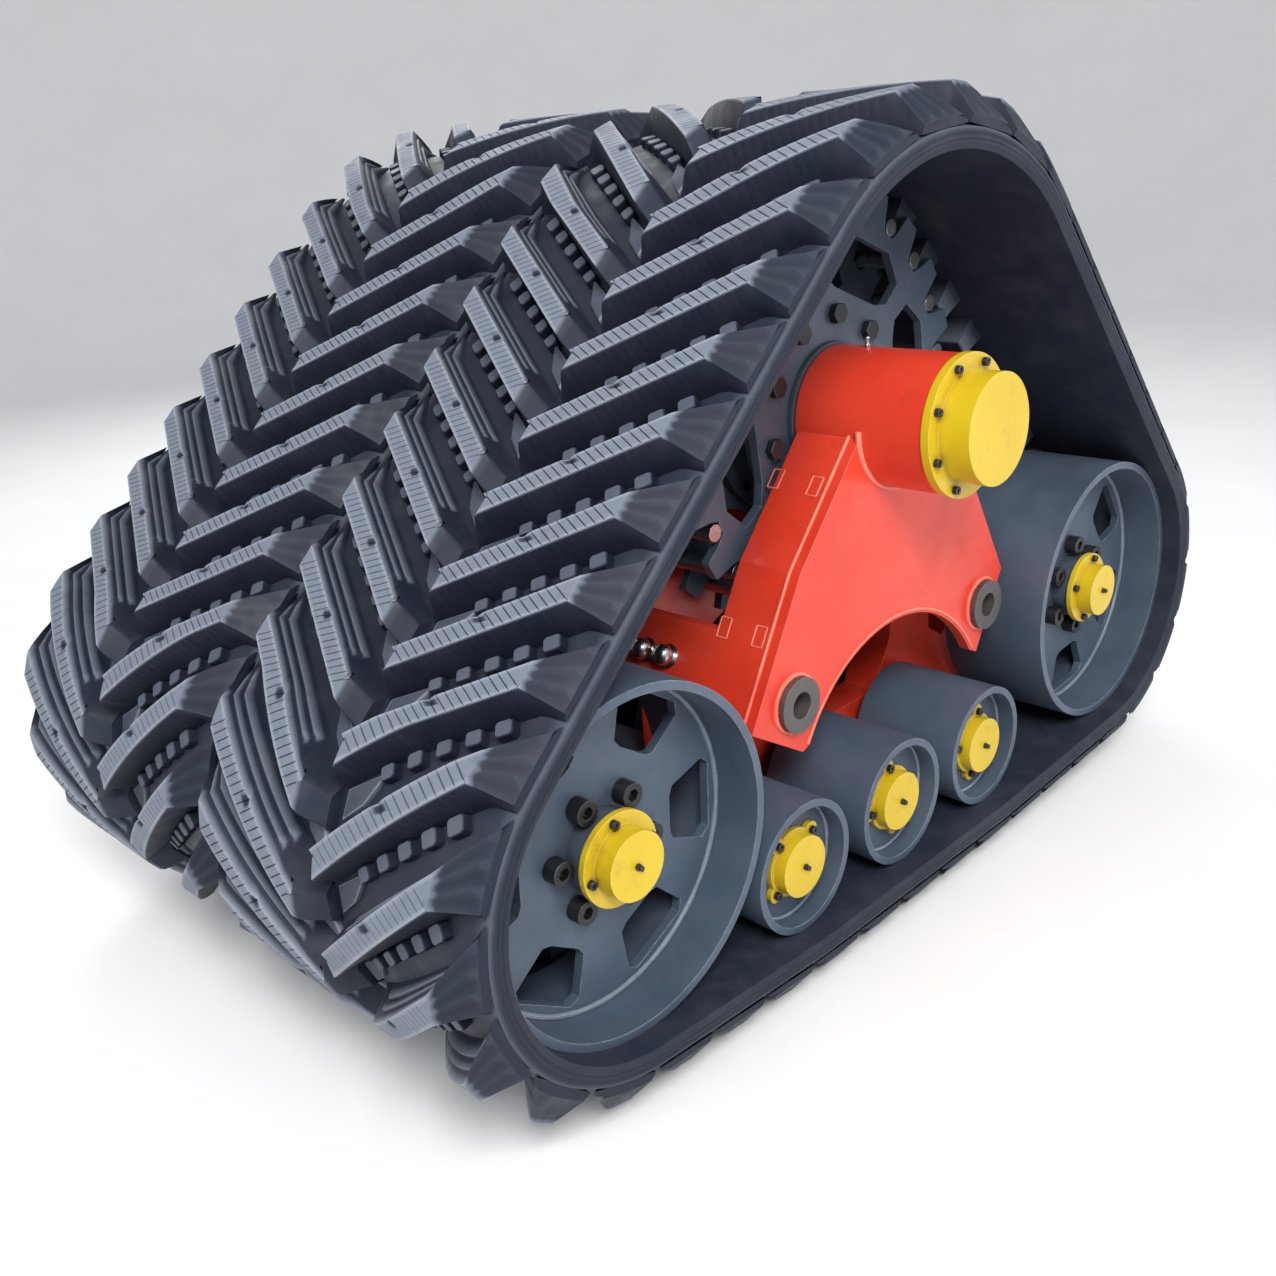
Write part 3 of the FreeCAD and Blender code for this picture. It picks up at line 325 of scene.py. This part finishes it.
# Rubber tones, darkest to lightest: the first is painted shade on flanks, grooves, creases and lug feet;
# SMOOTH is the plain rubber; TOP paints the bar tops lighter, as lit; the last is a painted highlight on
# rims, ridges and chamfers.
SHADE_TONE, SMOOTH, TOP, HIGHLIGHT_TONE = 0.08, 0.36, 0.78, 1.0


class Moulding:
    """Points, faces and tones of one moulded mesh."""

    def __init__(self):
        """An empty mesh."""
        self.points = []
        self.faces = []
        self.tones = []

    def add(self, point, tone):
        """One point; returns its number."""
        self.points.append(point)
        self.tones.append(tone)
        return len(self.points) - 1

    def strips(self, rows, closed_across=False):
        """Quads between rows of point numbers."""
        for a, b in zip(rows, rows[1:]):
            count = len(a)
            for n in range(count if closed_across else count - 1):
                m = (n + 1) % count
                self.faces.append((a[n], a[m], b[m], b[n]))

    def cap(self, row, flip=False):
        """One face over a whole row."""
        self.faces.append(tuple(reversed(row)) if flip else tuple(row))

    def piece(self, name, mirror=False):
        """Mesh object, mirrored across Y if asked."""
        sign = -1 if mirror else 1
        points = [(x, sign * y, z) for x, y, z in self.points]
        faces = [tuple(reversed(face)) for face in self.faces] if mirror else self.faces
        mesh = bpy.data.meshes.new(name)
        mesh.from_pydata(points, [], faces)
        tones = mesh.attributes.new("tone", "FLOAT", "POINT")
        tones.data.foreach_set("value", self.tones)
        mesh.shade_smooth()
        mesh.set_sharp_from_angle(angle=math.radians(32))
        made = bpy.data.objects.new(name, mesh)
        bpy.context.scene.collection.objects.link(made)
        return made


def ease(low, high, value):
    """Smooth step from 0 at low to 1 at high."""
    share = min(max((value - low) / (high - low), 0.0), 1.0)
    return share * share * (3 - 2 * share)


HEAD_END, FAN_START = 0.10, 0.86  # shares of a half bar
FAN_END = 0.985
TOP_LEAD, TOP_TRAIL = 0.0190, 0.0150
GROOVE_DEEP = 0.0022
NOTCH_DEEP = 0.0035
NOTCH_FROM, NOTCH_TO = 0.475, 0.505
FLANK_STEPS = ((-0.0185, 0.70, 0), (-0.0222, 0.685, 1), (-0.0240, 0.42, 0), (-0.0277, 0.405, 1))
SIPE_STEP, SIPE_DEEP = 0.036, 0.0018
TOP_SHARES = (0.0, 0.18, 0.34, 0.5, 0.66, 0.82, 1.0)


def bar_stations():
    """(share along the bar, sipe depth) of every cross-section of a half bar."""
    stations = [(0.016, 0.0), (0.035, 0.0), (0.06, 0.0), (0.08, 0.0), (HEAD_END, 0.0)]
    share = HEAD_END + 0.02
    while share < FAN_START - 0.02:
        stations += [(share - 0.0035, 0.0), (share, SIPE_DEEP), (share + 0.0035, 0.0)]
        share += SIPE_STEP
    return stations + [(FAN_START, 0.0), (0.885, 0.0), (0.92, 0.0), (0.955, 0.0), (FAN_END, 0.0)]


def bar_section(share, sipe):
    """Columns (along, high, tone, slant) of one cross-section, from the leading foot to the trailing foot."""
    head = ease(0.0, HEAD_END, share)
    fan = max(0.0, (share - FAN_START) / (FAN_END - FAN_START))
    high = BAR_HIGH * (0.22 + 0.78 * head) * (1 - 0.88 * fan)
    lead = 1 + 0.65 * fan
    trail = 1 + 0.90 * fan
    front, back = TOP_LEAD * (1 + 1.3 * fan), -TOP_TRAIL * (1 + 2.2 * fan)
    smooth = max(1 - ease(0.16, 0.28, share), fan)     # the flank ridges die out at both ends
    notch = NOTCH_DEEP if NOTCH_FROM < share < NOTCH_TO else 0.0
    # Bar tops are painted lighter, as lit; the top rims and flank ridges take a painted highlight; the
    # leading flank, sipes, grooves and the notch take painted shade.
    top_tone = TOP if head > 0.9 and fan == 0.0 else SMOOTH + 0.06
    columns = [(0.0300 * lead, -BAR_SINK, SHADE_TONE, 0), (0.0288 * lead, 0.10 * high, SHADE_TONE, 0),
               (0.0212 * (1 + fan), high * 0.93, SHADE_TONE + 0.1, 0)]
    for n, part in enumerate(TOP_SHARES):
        groove = GROOVE_DEEP * (n % 2) * (1.0 if 0.0 < fan < 0.95 else 0.0)
        drop = sipe if 0 < n < len(TOP_SHARES) - 1 else sipe * 0.5
        drop += notch if part > 0.6 else 0.0
        rim = n in (0, len(TOP_SHARES) - 1) and fan == 0.0 and head > 0.9
        sunk = groove or (notch and part > 0.6)
        tone = HIGHLIGHT_TONE if rim else (SHADE_TONE if sunk else (SMOOTH if sipe else top_tone))
        columns.append((front + (back - front) * part, high - groove - drop, tone, 1))
    for along, low, ridge in FLANK_STEPS:
        plain = 0.93 - 0.83 * (-along - 0.0165) / 0.0140
        level = low + (plain - low) * smooth
        tone = HIGHLIGHT_TONE * 0.8 if ridge and smooth < 0.5 else SHADE_TONE + 0.1
        columns.append((along * trail, high * level, tone, 0))
    columns += [(-0.0300 * trail, 0.10 * high, SMOOTH, 0), (-0.0318 * trail, -BAR_SINK, SMOOTH, 0)]
    return columns


def add_bar(mould, cords, apex, half):
    """One half bar that sweeps back from the spine to a belt edge."""
    rows = []
    for share, sipe in bar_stations():
        row = []
        for along, high, tone, slanted in bar_section(share, sipe):
            place = share
            if slanted and HEAD_END < share < FAN_START:
                place += 0.9 * along / HALF_WIDE
            s = apex - BAR_SWEEP * place + along
            x, z = track_point(cords, s, BELT_THICK - CORD + high)
            row.append(mould.add((x, across(-1, MID_DEPTH) + half * HALF_WIDE * place, z), tone))
        rows.append(row if half > 0 else row[::-1])
    mould.strips(rows)
    mould.cap(rows[0])
    mould.cap(rows[-1], flip=True)


def add_block(mould, cords, centre, size, high, tones, lean=0.0, corner=0.16):
    """Rounded-square block on the belt at (s, y), turned to lie along a bar, with a chamfered top."""
    s_mid, y_mid = centre
    cosine, sine = math.cos(lean), math.sin(lean)
    rings = []
    side_tone, top_tone = tones
    layers = ((-BAR_SINK, 1.08, side_tone), (high - 0.002, 1.0, side_tone), (high, 0.86, top_tone))
    for level, scale, tone in layers:
        ring = []
        for n in range(8):
            quarter = (n // 2) * math.pi / 2 + math.pi / 4
            turn = quarter + (-corner if n % 2 == 0 else corner)
            along = size[0] / 2 * scale * math.sqrt(2) * math.cos(turn)
            wide = size[1] / 2 * scale * math.sqrt(2) * math.sin(turn)
            x, z = track_point(cords, s_mid + along * cosine - wide * sine, BELT_THICK - CORD + level)
            ring.append(mould.add((x, y_mid + along * sine + wide * cosine, z), tone))
        rings.append(ring)
    mould.strips(rings, closed_across=True)
    mould.cap(rings[-1])


def add_plateau(mould, cords, apex, half):
    """Low bevelled triangle on the valley floor beside the spine."""
    painted_corner_shade = ((0.05, -0.046), (0.05, -0.082), (0.25, -0.078), (0.17, -0.050))
    middle = (sum(c[0] for c in painted_corner_shade) / 4, sum(c[1] for c in painted_corner_shade) / 4)
    rings = []
    # Painted highlight on the bevel ring and a lighter top.
    layers = ((-BAR_SINK, 1.1, SMOOTH), (0.0065, 1.0, HIGHLIGHT_TONE), (0.0085, 0.82, SMOOTH + 0.15))
    for level, scale, tone in layers:
        ring = []
        for share, along in painted_corner_shade:
            share = middle[0] + (share - middle[0]) * scale
            along = middle[1] + (along - middle[1]) * scale
            x, z = track_point(cords, apex - BAR_SWEEP * share + along, BELT_THICK - CORD + level)
            ring.append(mould.add((x, across(-1, MID_DEPTH) + half * HALF_WIDE * share, z), tone))
        rings.append(ring[::-1] if half > 0 else ring)
    mould.strips(rings, closed_across=True)
    mould.cap(rings[-1])


def add_carcass(mould, inner):
    """The flat belt itself, swept round its path."""
    # Painted shade in the fine lines of the edge faces and along the spine line; painted highlights (tone
    # 0.55) on the rounded top corners.
    section = [(0.000, 0.010, SMOOTH), (0.0012, 0.013, SHADE_TONE), (0.0, 0.016, SMOOTH), (0.0012, 0.020, SHADE_TONE),
               (0.0, 0.024, SMOOTH), (0.004, 0.031, 0.55), (0.030, 0.0385, SMOOTH), (0.100, 0.0395, SMOOTH),
               (HALF_WIDE, 0.0395, SHADE_TONE), (0.510, 0.0395, SMOOTH), (0.580, 0.0385, SMOOTH),
               (0.606, 0.031, 0.55), (0.610, 0.024, SMOOTH), (0.6088, 0.020, SHADE_TONE), (0.610, 0.016, SMOOTH),
               (0.6088, 0.013, SHADE_TONE), (0.610, 0.010, SMOOTH), (0.606, 0.001, SMOOTH), (0.600, 0.0, SMOOTH),
               (0.010, 0.0, SMOOTH), (0.004, 0.001, SMOOTH)]
    rows = []
    for n in range(BELT_STEPS + 1):
        s = inner[1] * (n % BELT_STEPS) / BELT_STEPS
        row = []
        for wide, out, tone in section:
            x, z = track_point(inner, s, out)
            row.append(mould.add((x, across(-1, EDGE_DEPTH) + wide, z), tone) if n < BELT_STEPS else 0)
        rows.append(row if n < BELT_STEPS else rows[0])
    mould.strips([row[::-1] for row in rows], closed_across=True)


def add_guide(mould, inner, s):
    """Guide lug on the inner face."""
    rings = []
    near_y, far_y = across(-1, GUIDE_DEPTH), across(-1, 2 * MID_DEPTH - GUIDE_DEPTH)
    # Guide lug tones: painted shade at the foot and a painted highlight on the chamfer.
    for out, half_long, inset, tone in ((0.004, 0.0280, 0.0, SHADE_TONE), (-0.004, 0.0272, 0.001, SMOOTH),
                                        (-GUIDE_HIGH + 0.004, 0.0185, 0.006, HIGHLIGHT_TONE * 0.75),
                                        (-GUIDE_HIGH, 0.0150, 0.010, SMOOTH)):
        ring = []
        for along, y in ((-half_long, near_y + inset), (half_long, near_y + inset),
                         (half_long, far_y - inset), (-half_long, far_y - inset)):
            x, z = track_point(inner, s + along, out)
            ring.append(mould.add((x, y, z), tone))
        rings.append(ring)
    mould.strips(rings, closed_across=True)
    mould.cap(rings[-1])


def make_tracks():
    """Both rubber tracks: the near one and its mirror image."""
    mould = Moulding()
    cords, inner = track_path(CORD), track_path(0.0)
    add_carcass(mould, inner)
    bars = round(cords[1] / BAR_PITCH)
    pitch = cords[1] / bars
    for n in range(bars):
        for half, shift in ((-1, 0.5), (1, 0.0)):
            apex = pitch * (n + shift)
            add_bar(mould, cords, apex, half)
            add_plateau(mould, cords, apex, half)
            for stud in range(STUDS):
                share = STUD_FROM + STUD_STEP * stud
                wide = STUD_WIDE + STUD_GROWS * stud
                centre = (apex - BAR_SWEEP * share - pitch + STUD_AHEAD,
                          across(-1, MID_DEPTH) + half * HALF_WIDE * share)
                add_block(mould, cords, centre, (wide, wide * 1.2), STUD_HIGH, (SHADE_TONE, STUD_LIT_TONE),
                          half * BAR_LEAN)
    guides = round(inner[1] / GUIDE_PITCH)
    for n in range(guides):
        add_guide(mould, inner, inner[1] * n / guides)
    for tag, side in SIDES:
        track = mould.piece(f"rubber_track_{tag}", mirror=side > 0)
        track.data.materials.append(LOOKS["track_rubber"])
        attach(track, "frame")
        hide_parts(f"track_{tag}")


make_tracks()


# ---------------------------------------------------------------- weld beads
def arc_points(centre, radius, start, stop, y, step=0.004):
    """Points along an arc in the XZ plane at a given Y, in degrees."""
    count = max(2, round(radius * math.radians(abs(stop - start)) / step))
    turns = [math.radians(start + (stop - start) * n / count) for n in range(count + 1)]
    return [Vector((centre[0] + radius * math.cos(a), y, centre[1] + radius * math.sin(a))) for a in turns]


def line_points(a, b, step=0.004):
    """Points along a straight line."""
    a, b = Vector(a), Vector(b)
    count = max(2, round((b - a).length / step))
    return [a.lerp(b, n / count) for n in range(count + 1)]


def add_bead(mould, points, radius, closed=False):
    """Scalloped weld bead along close-set points."""
    if closed:
        points = points[:-1]
    rows = []
    count = len(points)
    for n, point in enumerate(points):
        before = points[n - 1] if closed or n else points[n]
        after = points[(n + 1) % count] if closed or n < count - 1 else points[n]
        forward = (after - before).normalized()
        side_way = forward.cross(Vector((0.31, 0.52, 0.79))).normalized()
        up_way = forward.cross(side_way)
        ripple = radius * (1 + 0.10 * math.sin(n * math.pi * 0.9) + 0.07 * math.sin(n * 0.37))
        row = []
        for k in range(8):
            turn = 2 * math.pi * k / 8
            spot = point + side_way * ripple * math.cos(turn) + up_way * ripple * math.sin(turn)
            row.append(mould.add(tuple(spot), 0.5))
        rows.append(row)
    mould.strips(rows + rows[:1] if closed else rows, closed_across=True)
    if not closed:
        mould.cap(rows[0], flip=True)
        mould.cap(rows[-1])


FRONT_EDGE = ((-0.063, 0.826), (-0.2215, 0.643), (-0.3454, 0.424))
REAR_EDGE = ((0.134, 0.826), (0.268, 0.663), (0.367, 0.488))
ARCH = ((-0.208, 0.356), (0.0305, 0.4934), (0.264, 0.361))
BUSH_SPOTS = ((-0.243, 0.440), (0.299, 0.440))
PLATE_DEPTH, PLATE_THICK = 0.066, 0.020
LEG_DEPTH = 0.184
PLUGS = ((0, 0.40, 0.185), (0, 0.41, 0.108), (1, 0.42, 0.176), (1, 0.42, 0.106))


def circle_through(a, b, c):
    """Centre and radius of the circle through three points."""
    d = 2 * (a[0] * (b[1] - c[1]) + b[0] * (c[1] - a[1]) + c[0] * (a[1] - b[1]))
    sq = [p[0] ** 2 + p[1] ** 2 for p in (a, b, c)]
    x = (sq[0] * (b[1] - c[1]) + sq[1] * (c[1] - a[1]) + sq[2] * (a[1] - b[1])) / d
    z = (sq[0] * (c[0] - b[0]) + sq[1] * (a[0] - c[0]) + sq[2] * (b[0] - a[0])) / d
    return (x, z), math.hypot(a[0] - x, a[1] - z)


def plug_weld(mould, side, edge, share, depth):
    """Small rectangular plug weld on the front web."""
    (xa, za), (xb, zb) = FRONT_EDGE[edge], FRONT_EDGE[edge + 1]
    run = Vector((xb - xa, 0, zb - za)).normalized()
    out = Vector((run.z, 0, -run.x))
    middle = Vector((xa + (xb - xa) * share, across(side, depth), za + (zb - za) * share)) + out * 0.0002
    wide = Vector((0, 1, 0))
    painted_corner_shade = [middle + run * a * 0.016 + wide * b * 0.010 for a, b in ((-1, -1), (1, -1), (1, 1), (-1, 1))]
    for a, b in zip(painted_corner_shade, painted_corner_shade[1:] + painted_corner_shade[:1]):
        add_bead(mould, line_points(a, b), 0.0014)


def finish_piece(mould, name, body, material):
    """Mesh object that rides on a body with one finish."""
    made = mould.piece(name)
    made.data.materials.append(material)
    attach(made, body)


for tag, side in SIDES:
    mould = Moulding()
    y_plate = across(side, PLATE_DEPTH)
    add_bead(mould, arc_points((HUB_X, HUB_Z), TUBE_R + 0.002, 180, 360, y_plate), 0.0050)
    for spot in BUSH_SPOTS:
        add_bead(mould, arc_points(spot, 0.0465, 0, 360, y_plate), 0.0045, closed=True)
    centre, radius = circle_through(*ARCH)
    ends = [math.degrees(math.atan2(z - centre[1], x - centre[0])) for x, z in (ARCH[0], ARCH[2])]
    add_bead(mould, arc_points(centre, radius + 0.006, ends[0], ends[1], y_plate), 0.0030)
    for edge, lean in ((FRONT_EDGE, -1), (REAR_EDGE, 1)):
        for (xa, za), (xb, zb) in zip(edge, edge[1:]):
            y_seam = across(side, PLATE_DEPTH + PLATE_THICK)
            add_bead(mould, line_points((xa, y_seam, za), (xb, y_seam, zb)), 0.0032)
        top_x, top_z = edge[0]
        add_bead(mould, line_points((top_x, across(side, PLATE_DEPTH), top_z),
                                    (top_x, across(side, LEG_DEPTH - 0.024), top_z)), 0.0045)
    for edge, share, depth in PLUGS:
        plug_weld(mould, side, edge, share, depth)
    finish_piece(mould, f"frame_welds_{tag}", "frame", WELD_ORANGE)

IDLER_SEAM_R, IDLER_SEAM_DEPTH = 0.2385, 0.0795
ROLLER_SEAM_R, ROLLER_SEAM_DEPTH = 0.0955, 0.0335

for body, x in (("front_idlers", -idler_x), ("rear_idlers", idler_x)):
    mould = Moulding()
    for tag, side in SIDES:
        seam = arc_points((x, idler_z), IDLER_SEAM_R, 0, 360, across(side, IDLER_SEAM_DEPTH))
        add_bead(mould, seam, 0.0048, closed=True)
    finish_piece(mould, f"{body}_rim_welds", body, WELD_BLUE)

for n, x in enumerate(ROLLER_X, start=1):
    mould = Moulding()
    for tag, side in SIDES:
        seam = arc_points((x, roller_z), ROLLER_SEAM_R, 0, 360, across(side, ROLLER_SEAM_DEPTH))
        add_bead(mould, seam, 0.0032, closed=True)
    finish_piece(mould, f"roller_{n}_end_welds", f"roller_line_{n}", WELD_BLUE)


# ---------------------------------------------------------------- floor, light and camera
def floor_material():
    """Pale matt floor with a very faint mottle."""
    material, tree, shader, coords = new_material("pale_floor")
    shade = span(tree, noise(tree, coords, 2.0, 4.0), 0.3, 0.7)
    colour = blend_colour(tree, shade, (0.80, 0.80, 0.80), (0.84, 0.84, 0.84))
    socket_link(tree, colour, shader.inputs["Base Color"])
    shader.inputs["Roughness"].default_value = 0.9
    return material


# The backdrop is a round floor that curves up into a wall, so that no horizon line shows.
FLOOR_R, SWEEP_R, WALL_TOP = 7.0, 4.0, 9.0
AROUND = 96
SWEEP_STEPS = 16
profile = [(FLOOR_R * 0.5, 0.0), (FLOOR_R, 0.0)]
profile += [(FLOOR_R + SWEEP_R * math.sin(a), SWEEP_R * (1 - math.cos(a)))
            for a in (math.pi / 2 * n / SWEEP_STEPS for n in range(1, SWEEP_STEPS + 1))]
profile.append((FLOOR_R + SWEEP_R, WALL_TOP))
backdrop = Moulding()
rings = []
for reach, rise in profile:
    rings.append([backdrop.add((reach * math.cos(2 * math.pi * n / AROUND),
                                reach * math.sin(2 * math.pi * n / AROUND), rise), 0.0)
                  for n in range(AROUND)])
backdrop.strips(rings, closed_across=True)
backdrop.cap(rings[0])
floor = backdrop.piece("floor")
floor.data.materials.append(floor_material())
floor.location.z = -0.0005


def area_light(name, place, target, size, watts, colour=(1.0, 1.0, 1.0)):
    """Soft square light aimed at a point."""
    lamp = bpy.data.lights.new(name, "AREA")
    lamp.energy = watts
    lamp.size = size
    lamp.color = colour
    made = bpy.data.objects.new(name, lamp)
    made.location = place
    made.rotation_euler = (Vector(target) - Vector(place)).to_track_quat("-Z", "Y").to_euler()
    bpy.context.scene.collection.objects.link(made)


area_light("key", (-2.6, -3.4, 4.2), (0, -0.3, 0.5), 2.0, 300, (1.0, 0.985, 0.96))
area_light("fill", (2.8, -3.0, 2.0), (0.1, -0.4, 0.5), 3.0, 55, (0.95, 0.97, 1.0))
area_light("front", (-4.2, 0.6, 2.4), (-0.4, -0.1, 0.6), 3.0, 60, (0.93, 0.96, 1.0))
area_light("back", (2.0, 3.8, 3.4), (0, 0, 0.6), 3.0, 95, (1.0, 1.0, 1.0))

world = bpy.data.worlds.new("studio")
world.use_nodes = True
world.node_tree.nodes["Background"].inputs["Color"].default_value = (0.93, 0.95, 1.0, 1.0)
world.node_tree.nodes["Background"].inputs["Strength"].default_value = 0.60
bpy.context.scene.world = world
bpy.context.scene.view_settings.view_transform = "Standard"

CAMERA_AT = Vector((-1.6605, -1.6498, 1.2649))
CAMERA_TO = Vector((-0.6295, -0.5775, 0.6887))
CAMERA_ROLL = -0.0728
forward = (CAMERA_TO - CAMERA_AT).normalized()
level = forward.cross(Vector((0, 0, 1))).normalized()
upright = level.cross(forward)
right = level * math.cos(CAMERA_ROLL) + upright * math.sin(CAMERA_ROLL)
top = upright * math.cos(CAMERA_ROLL) - level * math.sin(CAMERA_ROLL)
lens = bpy.data.cameras.new("camera")
lens.lens = 36.31
lens.sensor_width = 36.0
camera = bpy.data.objects.new("camera", lens)
camera.matrix_world = Matrix.Translation(CAMERA_AT) @ Matrix((right, top, -forward)).transposed().to_4x4()
bpy.context.scene.collection.objects.link(camera)
bpy.context.scene.camera = camera
